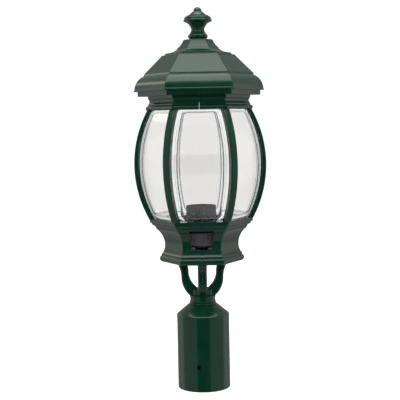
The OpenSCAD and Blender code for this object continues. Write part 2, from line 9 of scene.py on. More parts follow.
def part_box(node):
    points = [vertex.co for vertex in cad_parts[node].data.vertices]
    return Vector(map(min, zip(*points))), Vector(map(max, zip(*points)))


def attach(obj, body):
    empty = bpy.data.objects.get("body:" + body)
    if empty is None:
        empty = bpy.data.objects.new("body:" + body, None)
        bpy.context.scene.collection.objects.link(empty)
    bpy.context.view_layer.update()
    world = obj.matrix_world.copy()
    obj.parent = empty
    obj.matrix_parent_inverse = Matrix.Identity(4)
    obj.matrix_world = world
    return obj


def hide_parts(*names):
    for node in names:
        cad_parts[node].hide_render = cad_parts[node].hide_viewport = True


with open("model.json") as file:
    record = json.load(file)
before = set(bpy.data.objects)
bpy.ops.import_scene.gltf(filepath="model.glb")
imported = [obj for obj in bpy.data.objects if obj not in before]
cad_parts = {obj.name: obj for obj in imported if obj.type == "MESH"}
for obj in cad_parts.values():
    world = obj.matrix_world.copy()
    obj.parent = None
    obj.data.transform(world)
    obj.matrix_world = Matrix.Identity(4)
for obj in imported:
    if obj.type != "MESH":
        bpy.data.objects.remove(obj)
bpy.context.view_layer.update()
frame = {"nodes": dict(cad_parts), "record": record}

MM = 0.001
COS30 = math.cos(math.radians(30))
TAN30 = math.tan(math.radians(30))


def low(node):
    """Lowest corner of a CAD node at rest."""
    return np.array(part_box(node)[0])


def high(node):
    """Highest corner of a CAD node at rest."""
    return np.array(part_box(node)[1])


# ---- Places, read from the frame ----

SLEEVE_R = high("post_sleeve")[0]
Z_HEAD = high("post_sleeve")[2]
Z_HUB = high("hollow_bolt")[2]
Z_CROWN = high("cage_left")[2]
Z_FLOOR = low("lampholder_bracket")[2]
Z_LIP = low("roof_shell")[2]
Z_ROOF = high("roof_shell")[2]
LIP_R = high("roof_shell")[0]
Z_FINIAL = low("finial")[2]
Z_TIP = high("finial")[2]
FINIAL_R = high("finial")[0]
BELLY_R = high("cage_right")[0]
PANE_FOOT = low("pane_front")[2]
PANE_TOP = high("pane_front")[2]
GRUB_Z = 0.5 * (low("grub_screw_front")[2] + high("grub_screw_front")[2])
GRUB_TURN = -101.0  # degrees about the axis: the first grub screw, a little left of the front
SKIRT_FOOT = low("lampholder_skirt")[2]
SKIRT_TOP = high("lampholder_skirt")[2]
HOLDER_R = high("lampholder_skirt")[0]

# ---- Sizes of the castings, which follow those places ----

BORE_R = SLEEVE_R - 2.8 * MM
CONE_TOP_R = 19 * MM
CONE_H = 11.6 * MM
Z_UNDER = Z_FLOOR - 3 * MM
Z_WAIST = Z_UNDER + 22 * MM
Z_BOW = Z_UNDER - 20 * MM
Z_RING = PANE_FOOT - 1.1 * MM
Z_NECK = PANE_TOP - 2.5 * MM
Z_BELLY = 0.5 * (Z_RING + Z_NECK)
Z_BAND = Z_CROWN - 8.5 * MM
COLLAR_R = 16.4 * MM
Z_COLLAR = Z_HEAD + 12.7 * MM
HUB_R = 14 * MM
RIB_END_R = BELLY_R - 17.3 * MM
RING_R = RIB_END_R - 0.5 * MM
BEAD_R = RIB_END_R + 1.6 * MM
NECK_R = RIB_END_R - 3.4 * MM
BAND_R = RIB_END_R + 11.2 * MM
WAIST_R = 46.9 * MM
FLANGE_R = WAIST_R + 6.9 * MM
GALLERY_WALL = 3.8 * MM
CROWN_OPEN_R = 55 * MM
GLASS_IN = 4.5 * MM
GLASS_T = 4 * MM
SEAM = 0.2 * MM
ARM_SEAM = 0.03 * MM
CABLE_HOLE_R = 8.3 * MM
SUPPORT = 1.2 * MM  # from an edge to the row or station that keeps the face beside it flat
RIB_SAG = BELLY_R - RIB_END_R
RIB_HALF = 0.5 * (Z_NECK - Z_RING)
RIB_ARC = (RIB_HALF ** 2 + RIB_SAG ** 2) / (2 * RIB_SAG)


def belly(z):
    """Corner radius of the ribs at height z: an arc of radius RIB_ARC that stands out most at the belly."""
    return BELLY_R - RIB_ARC + np.sqrt(RIB_ARC ** 2 - (z - Z_BELLY) ** 2)


def glass_apothem(z):
    """Distance from the axis to a pane's outer face at height z."""
    return (belly(z) - GLASS_IN) * COS30


# ---- Shapes: outlines ----

def arc(centre, radius, start, stop, steps):
    """Points on a circle about centre, from angle start to angle stop in degrees."""
    turn = np.radians(np.linspace(start, stop, steps + 1))
    return np.stack([centre[0] + radius * np.cos(turn), centre[1] + radius * np.sin(turn)], axis=1)


def outline(*parts):
    """Joins points and arcs, given in order, into one outline."""
    return np.vstack([np.atleast_2d(np.asarray(part, dtype=float)) for part in parts])


def spread(line, count):
    """The same open outline with count points, evenly spaced along its length."""
    reach = np.concatenate([[0], np.cumsum(np.linalg.norm(np.diff(line, axis=0), axis=1))])
    want = np.linspace(0, reach[-1], count)
    return np.stack([np.interp(want, reach, line[:, k]) for k in (0, 1)], axis=1)


def supported(outer, inner, reach=SUPPORT, least=4 * MM):
    """Adds a row near both ends of each long step of the outer outline, at the same share of the inner
    one, so that the long faces keep flat shading."""
    rows_out, rows_in = [outer[0]], [inner[0]]
    for k in range(1, len(outer)):
        length = np.linalg.norm(outer[k] - outer[k - 1])
        shares = [reach / length, 1 - reach / length, 1] if length > least else [1]
        for share in shares:
            rows_out.append(outer[k - 1] + share * (outer[k] - outer[k - 1]))
            rows_in.append(inner[k - 1] + share * (inner[k] - inner[k - 1]))
    return np.array(rows_out), np.array(rows_in)


# ---- Shapes: ways round the axis ----
# A way is a list of stations. At a station, an outline's point of radius a lies at a * out + shift.

def station(out, shift=(0, 0)):
    """One station of a way."""
    return (tuple(out), tuple(shift))


def round_way(start, stop, steps):
    """Stations on a circle between two angles in degrees."""
    turn = np.radians(np.linspace(start, stop, steps + 1))
    return [station((math.cos(t), math.sin(t))) for t in turn]


def corner_way(angle, radius, steps=4):
    """Stations round one corner of the hexagon, which has that rounding radius, and one more on the flat at
    each side of it. Outline radii are apothems."""
    mid = math.radians(angle)
    out = np.array([math.cos(mid), math.sin(mid)]) / COS30
    turns = np.radians(np.linspace(angle - 30, angle + 30, steps + 1))
    shifts = [radius * (np.array([math.cos(t), math.sin(t)]) - out) for t in turns]
    along = [SUPPORT * np.array([-math.sin(t), math.cos(t)]) for t in (turns[0], turns[-1])]
    shifts = [shifts[0] - along[0]] + shifts + [shifts[-1] + along[1]]
    return [station(out, shift) for shift in shifts]


def face_station(angle, along):
    """A station on the flat face whose normal points at angle, at a distance along the face."""
    t = math.radians(angle)
    return station((math.cos(t), math.sin(t)), (-along * math.sin(t), along * math.cos(t)))


def hexagon_way(radius):
    """The whole hexagon, with its first corner on the X axis."""
    return [s for k in range(6) for s in corner_way(60 * k, radius)]


def half_hexagon_way(radius):
    """The right half, from the seam at the front to the seam at the back."""
    corners = [s for k in (-1, 0, 1) for s in corner_way(60 * k, radius)]
    return [face_station(-90, SEAM)] + corners + [face_station(90, -SEAM)]


def half_round_way(steps):
    """The right half of a circle, from seam to seam."""
    trim = 2.0
    middle = round_way(-90 + trim, 90 - trim, steps)
    return [face_station(-90, SEAM)] + middle + [face_station(90, -SEAM)]


def carried(line, way):
    """An outline carried round a way: a grid of points, rows down the outline and columns along the way."""
    out = np.array([s[0] for s in way])
    shift = np.array([s[1] for s in way])
    flat = line[:, 0][:, None, None] * out[None] + shift[None]
    rise = np.broadcast_to(line[:, 1][:, None, None], (len(line), len(way), 1))
    return np.concatenate([flat, rise], axis=2)


# ---- Shapes: meshes ----

def made(name, points, faces, smooth=True):
    """A mesh object at the origin from points and faces, with doubles merged and faces turned outwards."""
    mesh = bpy.data.meshes.new(name)
    mesh.from_pydata(np.asarray(points).reshape(-1, 3).tolist(), [], [list(f) for f in faces])
    work = bmesh.new()
    work.from_mesh(mesh)
    bmesh.ops.remove_doubles(work, verts=work.verts, dist=1e-6)
    bmesh.ops.dissolve_degenerate(work, edges=work.edges, dist=1e-7)
    bmesh.ops.recalc_face_normals(work, faces=work.faces)
    work.to_mesh(mesh)
    work.free()
    mesh.polygons.foreach_set("use_smooth", np.full(len(mesh.polygons), smooth))
    mesh.update()
    piece = bpy.data.objects.new(name, mesh)
    bpy.context.scene.collection.objects.link(piece)
    return piece


def quads(a, b, c, d):
    """Rows of four indices from four arrays of one shape."""
    return np.stack([a, b, c, d], axis=-1).reshape(-1, 4)


def shell(name, outer, inner, closed=False, open_cells=None):
    """A wall between two matching grids of points. Cells that open_cells marks are left out of both skins,
    and every edge between a cell that is there and one that isn't gets a strip that joins the skins."""
    rows, cols = outer.shape[:2]
    count = rows * cols
    index = np.arange(count).reshape(rows, cols)
    if closed:
        index = np.concatenate([index, index[:, :1]], axis=1)
    there = np.ones((rows - 1, index.shape[1] - 1), dtype=bool)
    if open_cells is not None:
        there &= ~open_cells
    cells = quads(index[:-1, :-1], index[:-1, 1:], index[1:, 1:], index[1:, :-1])[there.reshape(-1)]
    padded = np.pad(there, ((1, 1), (0, 0)))
    across = padded[:-1] != padded[1:]
    level = quads(index[:, :-1], index[:, 1:], index[:, 1:] + count, index[:, :-1] + count)
    level = level[across.reshape(-1)]
    if closed:
        beside = np.concatenate([there[:, -1:], there, there[:, :1]], axis=1)
        upright = (beside[:, :-1] != beside[:, 1:])
        upright[:, -1] = False
    else:
        beside = np.pad(there, ((0, 0), (1, 1)))
        upright = beside[:, :-1] != beside[:, 1:]
    walls = quads(index[:-1], index[1:], index[1:] + count, index[:-1] + count)[upright.reshape(-1)]
    faces = np.concatenate([cells, cells[:, ::-1] + count, level, walls])
    points = np.concatenate([outer.reshape(-1, 3), inner.reshape(-1, 3)])
    return made(name, points, faces.tolist())


def skin(name, grid, wrap_rows=False, wrap_cols=False, capped=False):
    """A single grid of points as a closed surface: rows or columns may wrap round, and capped closes the
    first and the last column with a flat face each."""
    rows, cols = grid.shape[:2]
    index = np.arange(rows * cols).reshape(rows, cols)
    if wrap_rows:
        index = np.concatenate([index, index[:1]], axis=0)
    if wrap_cols:
        index = np.concatenate([index, index[:, :1]], axis=1)
    faces = quads(index[:-1, :-1], index[:-1, 1:], index[1:, 1:], index[1:, :-1]).tolist()
    if capped:
        faces.append(index[:rows, 0].tolist())
        faces.append(index[:rows, -1][::-1].tolist())
    return made(name, grid, faces)


def turned(name, line, steps=96):
    """A solid of revolution: an outline that starts and ends on the axis, turned once round it."""
    return skin(name, carried(line, round_way(0, 360 - 360 / steps, steps - 1)), wrap_cols=True)


def turn_about_z(piece, degrees):
    """Turns a piece's mesh about the axis, and leaves its object where it is."""
    piece.data.transform(Matrix.Rotation(math.radians(degrees), 4, "Z"))
    return piece


def bevelled(piece, width, segments=3, limit=32):
    """Rounds every edge sharper than limit degrees, and keeps the faces beside it flat."""
    bevel = piece.modifiers.new("rounded edges", "BEVEL")
    bevel.width = width
    bevel.segments = segments
    bevel.limit_method = "ANGLE"
    bevel.angle_limit = math.radians(limit)
    bevel.harden_normals = True
    bevel.miter_outer = "MITER_ARC"
    return piece


# ---- Camera ----

CAMERA_DISTANCE = 1.3
CAMERA_HEIGHT = 0.340
CAMERA_PITCH = 4.42
CAMERA_ROLL = 1.08
CAMERA_SIDE = -0.0012
LENS = 92.72


def add_camera():
    """A camera that stands in front, level with the panes' upper part, looks slightly down and leans."""
    data = bpy.data.cameras.new("camera")
    data.lens = LENS
    data.sensor_width = 36
    data.clip_end = 50
    camera = bpy.data.objects.new("camera", data)
    bpy.context.scene.collection.objects.link(camera)
    pitch = math.radians(90 - CAMERA_PITCH)
    roll = math.radians(CAMERA_ROLL)
    turn = Matrix.Rotation(pitch, 4, "X") @ Matrix.Rotation(-roll, 4, "Z")
    camera.matrix_world = Matrix.Translation((CAMERA_SIDE, -CAMERA_DISTANCE, CAMERA_HEIGHT)) @ turn
    bpy.context.scene.camera = camera


add_camera()


# ---- Finishes: shared effects ----

def socket(tree, name, way, kind, value=None):
    """A named input or output of a shared effect."""
    made_socket = tree.interface.new_socket(name, in_out=way, socket_type=kind)
    if value is not None:
        made_socket.default_value = value
    return made_socket


def math_node(tree, operation, first, second=None):
    """A Math node. first and second are sockets or numbers."""
    node = tree.nodes.new("ShaderNodeMath")
    node.operation = operation
    for slot_number, value in enumerate((first, second)):
        if value is None:
            continue
        if isinstance(value, (int, float)):
            node.inputs[slot_number].default_value = value
        else:
            tree.links.new(value, node.inputs[slot_number])
    return node.outputs[0]


def build_paint_surface():
    """Height and tone of a sprayed coat: a fine ripple and a slow wander left by the casting under it."""
    tree = bpy.data.node_groups.new("paint surface", "ShaderNodeTree")
    socket(tree, "Ripple Scale", "INPUT", "NodeSocketFloat", 700.0)
    socket(tree, "Ripple", "INPUT", "NodeSocketFloat", 1.0)
    socket(tree, "Wander Scale", "INPUT", "NodeSocketFloat", 60.0)
    socket(tree, "Wander", "INPUT", "NodeSocketFloat", 1.0)
    socket(tree, "Height", "OUTPUT", "NodeSocketFloat")
    socket(tree, "Tone", "OUTPUT", "NodeSocketFloat")
    nodes, links = tree.nodes, tree.links
    given = nodes.new("NodeGroupInput")
    place = nodes.new("ShaderNodeTexCoord")
    ripple = nodes.new("ShaderNodeTexNoise")
    ripple.inputs["Detail"].default_value = 1.0
    wander = nodes.new("ShaderNodeTexNoise")
    wander.inputs["Detail"].default_value = 2.0
    for noise, scale in ((ripple, "Ripple Scale"), (wander, "Wander Scale")):
        links.new(place.outputs["Object"], noise.inputs["Vector"])
        links.new(given.outputs[scale], noise.inputs["Scale"])
    fine = math_node(tree, "MULTIPLY", ripple.outputs["Fac"], given.outputs["Ripple"])
    slow = math_node(tree, "MULTIPLY", wander.outputs["Fac"], given.outputs["Wander"])
    total = math_node(tree, "ADD", fine, slow)
    result = nodes.new("NodeGroupOutput")
    links.new(total, result.inputs["Height"])
    links.new(wander.outputs["Fac"], result.inputs["Tone"])
    return tree


def build_worn_metal():
    """Two patterns of handled metal: cloudy plating, and fine scratches drawn out along one axis."""
    tree = bpy.data.node_groups.new("worn metal", "ShaderNodeTree")
    socket(tree, "Cloud Scale", "INPUT", "NodeSocketFloat", 220.0)
    socket(tree, "Scratch Scale", "INPUT", "NodeSocketFloat", 900.0)
    socket(tree, "Tone", "OUTPUT", "NodeSocketFloat")
    socket(tree, "Scratches", "OUTPUT", "NodeSocketFloat")
    nodes, links = tree.nodes, tree.links
    given = nodes.new("NodeGroupInput")
    place = nodes.new("ShaderNodeTexCoord")
    cloud = nodes.new("ShaderNodeTexNoise")
    cloud.inputs["Detail"].default_value = 4.0
    links.new(place.outputs["Object"], cloud.inputs["Vector"])
    links.new(given.outputs["Cloud Scale"], cloud.inputs["Scale"])
    drawn = nodes.new("ShaderNodeMapping")
    drawn.inputs["Scale"].default_value = (1.0, 1.0, 0.06)
    links.new(place.outputs["Object"], drawn.inputs["Vector"])
    scratch = nodes.new("ShaderNodeTexNoise")
    scratch.inputs["Detail"].default_value = 3.0
    links.new(drawn.outputs["Vector"], scratch.inputs["Vector"])
    links.new(given.outputs["Scratch Scale"], scratch.inputs["Scale"])
    result = nodes.new("NodeGroupOutput")
    links.new(cloud.outputs["Fac"], result.inputs["Tone"])
    links.new(scratch.outputs["Fac"], result.inputs["Scratches"])
    return tree


PAINT_SURFACE = build_paint_surface()
WORN_METAL = build_worn_metal()


def placed(tree, group, **values):
    """The shared effect in a material, with its own values."""
    node = tree.nodes.new("ShaderNodeGroup")
    node.node_tree = group
    for name, value in values.items():
        node.inputs[name.replace("_", " ")].default_value = value
    return node


def ramp(tree, source, low_colour, high_colour, low_at=0.3, high_at=0.7):
    """Colours between two, as source runs between two values."""
    node = tree.nodes.new("ShaderNodeValToRGB")
    node.color_ramp.elements[0].position = low_at
    node.color_ramp.elements[0].color = (*low_colour, 1)
    node.color_ramp.elements[1].position = high_at
    node.color_ramp.elements[1].color = (*high_colour, 1)
    tree.links.new(source, node.inputs["Fac"])
    return node.outputs["Color"]


def between(tree, source, low_value, high_value):
    """A value between two, as source runs from 0.3 to 0.7."""
    node = tree.nodes.new("ShaderNodeMapRange")
    node.inputs["From Min"].default_value = 0.3
    node.inputs["From Max"].default_value = 0.7
    node.inputs["To Min"].default_value = low_value
    node.inputs["To Max"].default_value = high_value
    tree.links.new(source, node.inputs["Value"])
    return node.outputs["Result"]


def bump(tree, shader, height, strength, distance):
    """Raises a shader's surface by a height, up to a distance in metres."""
    node = tree.nodes.new("ShaderNodeBump")
    node.inputs["Strength"].default_value = strength
    node.inputs["Distance"].default_value = distance
    tree.links.new(height, node.inputs["Height"])
    tree.links.new(node.outputs["Normal"], shader.inputs["Normal"])
    return node


def new_material(name, **values):
    """A material with one Principled shader, its constant values set on the shader's own sockets."""
    material = bpy.data.materials.new(name)
    material.use_nodes = True
    shader = material.node_tree.nodes["Principled BSDF"]
    for socket_name, value in values.items():
        shader.inputs[socket_name.replace("_", " ")].default_value = value
    return material, material.node_tree, shader


def green_paint():
    """Gloss powder coat over a casting: deep green with a slight ripple."""
    material, tree, shader = new_material("green_paint", IOR=1.5, Coat_Weight=0.35, Coat_Roughness=0.08)
    surface = placed(tree, PAINT_SURFACE, Ripple_Scale=520.0, Ripple=0.35, Wander_Scale=45.0, Wander=1.0)
    colour = ramp(tree, surface.outputs["Tone"], (0.0015, 0.036, 0.019), (0.003, 0.044, 0.024))
    tree.links.new(colour, shader.inputs["Base Color"])
    tree.links.new(between(tree, surface.outputs["Tone"], 0.16, 0.24), shader.inputs["Roughness"])
    bump(tree, shader, surface.outputs["Height"], 0.25, 0.0006)
    return material


# Colour bands of the glass, by depth inside a pane's outline as a share of BAND_SPAN: the edge, the bevel,
# a faint line across the bevel, the bevel's dark inner line, and the flat middle. Only the middle's faint
# tint is the glass's own: the darker edge, the lighter bevel and the two dark lines are painted light and
# painted shade for the way the bevel bends the light.
BAND_SPAN = 20.0
BAND_WANDER = 1.6
GLASS_TINT_AND_PAINTED_SHADING = (
    (0.0, (0.62, 0.66, 0.70)), (0.10, (0.60, 0.64, 0.69)),
    (0.16, (0.97, 0.98, 0.98)), (0.29, (0.98, 0.98, 0.98)),
    (0.33, (0.66, 0.69, 0.73)), (0.38, (0.95, 0.96, 0.96)), (0.44, (0.90, 0.91, 0.91)),
    (0.465, (0.16, 0.16, 0.17)), (0.49, (0.16, 0.16, 0.17)),
    (0.53, (0.885, 0.88, 0.875)), (1.0, (0.88, 0.875, 0.87)))


def clear_glass():
    """Moulded clear glass with painted light and shade in its colour: a painted dark line where the bevel's
    inner line bends the light away, and painted lighter and darker bands along the bevel. The attribute
    depth is in millimetres, and the bands' edges wander by up to BAND_WANDER of them."""
    material, tree, shader = new_material("clear_glass", IOR=1.5, Transmission_Weight=1.0, Metallic=0.0)
    surface = placed(tree, PAINT_SURFACE, Ripple_Scale=30.0, Ripple=1.0, Wander_Scale=55.0, Wander=1.0)
    depth = tree.nodes.new("ShaderNodeAttribute")
    depth.attribute_name = "depth"
    wander = math_node(tree, "MULTIPLY", surface.outputs["Tone"], BAND_WANDER)
    reach = math_node(tree, "ADD", depth.outputs["Fac"], wander)
    reach = math_node(tree, "DIVIDE", reach, BAND_SPAN)
    # Painted light and shade: the bevel's bright band and its dark lines go into the glass's colour.
    bands = tree.nodes.new("ShaderNodeValToRGB")
    while len(bands.color_ramp.elements) < len(GLASS_TINT_AND_PAINTED_SHADING):
        bands.color_ramp.elements.new(1.0)
    for element, (position, colour) in zip(bands.color_ramp.elements, GLASS_TINT_AND_PAINTED_SHADING):
        element.position = position
        element.color = (*colour, 1)
    tree.links.new(reach, bands.inputs["Fac"])
    tree.links.new(bands.outputs["Color"], shader.inputs["Base Color"])
    tree.links.new(between(tree, surface.outputs["Tone"], 0.0, 0.012), shader.inputs["Roughness"])
    return material


def holder_plastic(name, dark, light):
    """Dark moulded plastic with a satin skin."""
    material, tree, shader = new_material(name, IOR=1.5)
    surface = placed(tree, PAINT_SURFACE, Ripple_Scale=1500.0, Ripple=1.0, Wander_Scale=90.0, Wander=0.4)
    colour = ramp(tree, surface.outputs["Tone"], dark, light)
    tree.links.new(colour, shader.inputs["Base Color"])
    tree.links.new(between(tree, surface.outputs["Tone"], 0.42, 0.55), shader.inputs["Roughness"])
    bump(tree, shader, surface.outputs["Height"], 0.3, 0.0002)
    return material


def glazed_ceramic():
    """Off-white glazed porcelain."""
    material, tree, shader = new_material("glazed_ceramic", IOR=1.5, Coat_Weight=0.5, Coat_Roughness=0.05)
    surface = placed(tree, PAINT_SURFACE, Ripple_Scale=900.0, Ripple=0.4, Wander_Scale=110.0, Wander=1.0)
    colour = ramp(tree, surface.outputs["Tone"], (0.74, 0.72, 0.66), (0.82, 0.81, 0.76))
    tree.links.new(colour, shader.inputs["Base Color"])
    tree.links.new(between(tree, surface.outputs["Tone"], 0.25, 0.4), shader.inputs["Roughness"])
    bump(tree, shader, surface.outputs["Height"], 0.2, 0.0003)
    return material


def plated_metal(name, dull, bright, rough_low, rough_high):
    """Bare or plated metal with cloudy tone and fine drawn scratches."""
    material, tree, shader = new_material(name, Metallic=1.0)
    worn = placed(tree, WORN_METAL, Cloud_Scale=260.0, Scratch_Scale=1400.0)
    tree.links.new(ramp(tree, worn.outputs["Tone"], dull, bright), shader.inputs["Base Color"])
    roughness = between(tree, worn.outputs["Scratches"], rough_low, rough_high)
    tree.links.new(roughness, shader.inputs["Roughness"])
    bump(tree, shader, worn.outputs["Scratches"], 0.15, 0.0001)
    return material


def insulation(name, dark, light):
    """Extruded insulation with a slight bloom."""
    material, tree, shader = new_material(name, IOR=1.5)
    surface = placed(tree, PAINT_SURFACE, Ripple_Scale=1800.0, Ripple=0.5, Wander_Scale=160.0, Wander=1.0)
    tree.links.new(ramp(tree, surface.outputs["Tone"], dark, light), shader.inputs["Base Color"])
    tree.links.new(between(tree, surface.outputs["Tone"], 0.35, 0.5), shader.inputs["Roughness"])
    bump(tree, shader, surface.outputs["Height"], 0.2, 0.0001)
    return material


FINISHES = {
    "green_paint": green_paint(),
    "clear_glass": clear_glass(),
    # The skirt and the cap are one plastic with two colours for the light: this darker one on the skirt is a
    # painted shade against the light that reaches it through the glass from above.
    "holder_plastic": holder_plastic("holder_plastic", (0.022, 0.019, 0.026), (0.036, 0.032, 0.042)),
    "holder_ceramic": glazed_ceramic(),
    "brass": plated_metal("drawn_brass", (0.50, 0.36, 0.15), (0.70, 0.52, 0.24), 0.25, 0.4),
    # The zinc plate is darkened far below bare zinc: a painted shade for the lampholder's bracket, which sits
    # in shadow inside the gallery.
    "zinc_plated_steel": plated_metal("zinc_plate", (0.16, 0.16, 0.17), (0.26, 0.26, 0.27), 0.3, 0.5),
    "grub_steel": plated_metal("black_oxide", (0.020, 0.020, 0.022), (0.045, 0.045, 0.048), 0.35, 0.5),
    "terminal_plastic": insulation("terminal_plastic", (0.72, 0.71, 0.66), (0.80, 0.79, 0.74)),
    "live_insulation": insulation("live_insulation", (0.16, 0.06, 0.02), (0.22, 0.09, 0.035)),
    "neutral_insulation": insulation("neutral_insulation", (0.02, 0.06, 0.26), (0.03, 0.09, 0.36)),
}


def finish_piece(piece, slot_name, body, *nodes):
    """Gives a new piece its finish, its body and the CAD nodes that it stands for."""
    piece.data.materials.clear()
    piece.data.materials.append(FINISHES[slot_name])
    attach(piece, body)
    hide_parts(*nodes)
    return piece


# ---- Sleeve ----

def sleeve():
    """The sleeve's wall between its outside and its bore. A square patch of the grid becomes each grub
    screw's round hole: (u, v) in the square goes to (u sqrt(1 - v^2 / 2), v sqrt(1 - u^2 / 2)) in it."""
    rim = 1.6 * MM
    wall_top = Z_HEAD - CONE_H
    stop = Z_HEAD - 20.5 * MM
    space = Z_HEAD - 8.5 * MM
    hole = 8.1 * MM
    grub_r, patch = 2.55 * MM, 8
    across = np.linspace(-1, 1, patch + 1)
    rise = np.concatenate([GRUB_Z + grub_r * across, np.linspace(GRUB_Z + 10 * MM, wall_top - 1.5 * MM, 6)])
    foot = outline((BORE_R, 0), arc((SLEEVE_R - rim, rim), rim, -75, 0, 6), (SLEEVE_R, GRUB_Z - 8 * MM))
    outer = outline(foot, [(SLEEVE_R, z) for z in rise],
                    (SLEEVE_R, wall_top - 0.7 * MM), (SLEEVE_R - 0.35 * MM, wall_top),
                    (SLEEVE_R - 1.6 * MM, wall_top + 1 * MM),
                    (CONE_TOP_R + 0.8 * MM, Z_HEAD - 0.6 * MM), (CONE_TOP_R, Z_HEAD), (hole, Z_HEAD))
    row = len(foot)
    inner_low = outline([(BORE_R, z) for z in outer[:row, 1]], [(BORE_R, z) for z in rise])
    inner_high = spread(outline((BORE_R, stop), (BORE_R - 6.5 * MM, stop), (BORE_R - 6.5 * MM, space),
                                (hole, space)), len(outer) - len(inner_low))
    inner = np.vstack([inner_low, inner_high])
    reach = math.degrees(grub_r / SLEEVE_R)
    angles = []
    for k in range(3):
        centre = GRUB_TURN + 120 * k
        angles += list(centre + reach * across)
        angles += list(np.linspace(centre + 2 * reach, centre + 120 - 2 * reach, 34))
    way = [station((math.cos(math.radians(a)), math.sin(math.radians(a)))) for a in angles]
    stride = len(angles) // 3
    open_cells = np.zeros((len(outer) - 1, len(way)), dtype=bool)
    grids = [carried(outer, way), carried(inner, way)]
    u, v = np.meshgrid(across, across)
    for k in range(3):
        open_cells[row:row + patch, k * stride:k * stride + patch] = True
        turn = np.radians(GRUB_TURN + 120 * k + reach * u * np.sqrt(1 - v ** 2 / 2))
        height = GRUB_Z + grub_r * v * np.sqrt(1 - u ** 2 / 2)
        for grid, radius in zip(grids, (SLEEVE_R, BORE_R)):
            grid[row:row + patch + 1, k * stride:k * stride + patch + 1] = np.stack(
                [radius * np.cos(turn), radius * np.sin(turn), height], axis=2)
    return shell("sleeve", grids[0], grids[1], closed=True, open_cells=open_cells)


finish_piece(bevelled(sleeve(), 0.3 * MM, 2), "green_paint", "lantern", "post_sleeve")


# ---- Cage castings ----

CORNER_ROUND = 1.1 * MM


def apothem(line):
    """An outline of corner radii as an outline of apothems."""
    return line * np.array([COS30, 1])


def crown():
    """The crown band, the neck's hollow and the bead over the panes."""
    neck_hollow = arc((NECK_R + 4 * MM, Z_BAND - 6.6 * MM), 4 * MM, 125, 225, 9)
    bead = arc((BEAD_R - 2.8 * MM, Z_NECK + 2.9 * MM), 2.8 * MM, 60, -60, 9)
    outer = outline((CROWN_OPEN_R, Z_CROWN), (BAND_R, Z_CROWN), (BAND_R, Z_BAND), (NECK_R + 1.8 * MM, Z_BAND),
                    neck_hollow, (NECK_R + 1.8 * MM, Z_NECK + 7.6 * MM),
                    (NECK_R + 1.8 * MM, Z_NECK + 6.4 * MM), bead)
    foot_r = belly(Z_NECK) - GLASS_IN + 0.3 * MM
    inner = outline((CROWN_OPEN_R, Z_CROWN - 0.5 * MM), (CROWN_OPEN_R, PANE_TOP + 0.5 * MM),
                    (foot_r - 1.0 * MM, PANE_TOP + 0.5 * MM), (foot_r, Z_NECK))
    return supported(outer, spread(inner, len(outer)))


def crown_half(name):
    """The crown's outline carried round the right half."""
    outer, inner = crown()
    way = half_hexagon_way(CORNER_ROUND)
    return shell(name, carried(apothem(outer), way), carried(apothem(inner), way))


def split_at(line, level):
    """The outline with one more point where it first comes down past a level, and that point's row."""
    row = int(np.argmax(line[:, 1] < level))
    above, below = line[row - 1], line[row]
    share = (above[1] - level) / (above[1] - below[1])
    return np.insert(line, row, above + share * (below - above), axis=0), row


def gallery_half(name):
    """The ring, the hollow gallery with half a window at each end, the flange's bead and the floor."""
    sill = Z_UNDER + 19.2 * MM
    head = sill + 24 * MM
    bead_h = 4.4 * MM
    ring = outline((RING_R, Z_RING), (RING_R, Z_RING - 4.5 * MM), (RING_R - 2 * MM, Z_RING - 5 * MM),
                   (RING_R - 3.4 * MM, Z_RING - 7.6 * MM), (RING_R - 6.4 * MM, Z_RING - 9 * MM))
    upper = arc((WAIST_R + 25 * MM, Z_WAIST), 25 * MM, 126, 180, 18)
    lower = arc((WAIST_R + 19 * MM, Z_WAIST), 19 * MM, 186, 211, 8)
    bead = arc((FLANGE_R - bead_h, Z_UNDER + bead_h + 0.2 * MM), bead_h, 66, -70, 14)
    sides, first = split_at(outline(ring, upper, lower), head)
    sides, last = split_at(sides, sill)
    flat_r = 34.5 * MM
    step = outline((FLANGE_R - 2.6 * MM, Z_UNDER + 11 * MM), (FLANGE_R - 2.3 * MM, Z_UNDER + 10.2 * MM),
                   (FLANGE_R - 2.6 * MM, Z_UNDER + 9.2 * MM))
    outer = outline(sides, step, bead, (flat_r, Z_UNDER), (CABLE_HOLE_R, Z_UNDER))
    inner = outer - np.array([GALLERY_WALL, 0])
    ledge_r = belly(Z_RING) - GLASS_IN - GLASS_T / COS30 - 3.4 * MM
    inner[:5, 0] = np.minimum(inner[:5, 0], ledge_r)
    floor_edge = outline((FLANGE_R - 8 * MM, Z_FLOOR + 7.5 * MM), (FLANGE_R - 8 * MM, Z_FLOOR + 2.5 * MM),
                         (WAIST_R - 4 * MM, Z_FLOOR))
    inner[len(sides):-2] = spread(floor_edge, len(step) + len(bead))
    inner[-2] = (flat_r, Z_FLOOR)
    inner[-1] = (CABLE_HOLE_R, Z_FLOOR)
    way = half_hexagon_way(CORNER_ROUND)
    foot_half, head_half = 12.85 * MM, 15.25 * MM
    slope = (head_half - foot_half) / (head - sill)
    front = face_station(-90, foot_half - slope * sill)
    back = face_station(90, -(foot_half - slope * sill))
    way = [way[0], front] + way[1:-1] + [back, way[-1]]
    grids = []
    for line in (apothem(outer), apothem(inner)):
        grid = carried(line, way)
        grid[:, 1, 0] = grid[:, 1, 0] + slope * np.clip(line[:, 1], sill, head)
        grid[:, -2, 0] = grid[:, -2, 0] + slope * np.clip(line[:, 1], sill, head)
        grids.append(grid)
    open_cells = np.zeros((len(outer) - 1, len(way) - 1), dtype=bool)
    open_cells[first:last, 0] = True
    open_cells[first:last, -1] = True
    return shell(name, grids[0], grids[1], open_cells=open_cells)


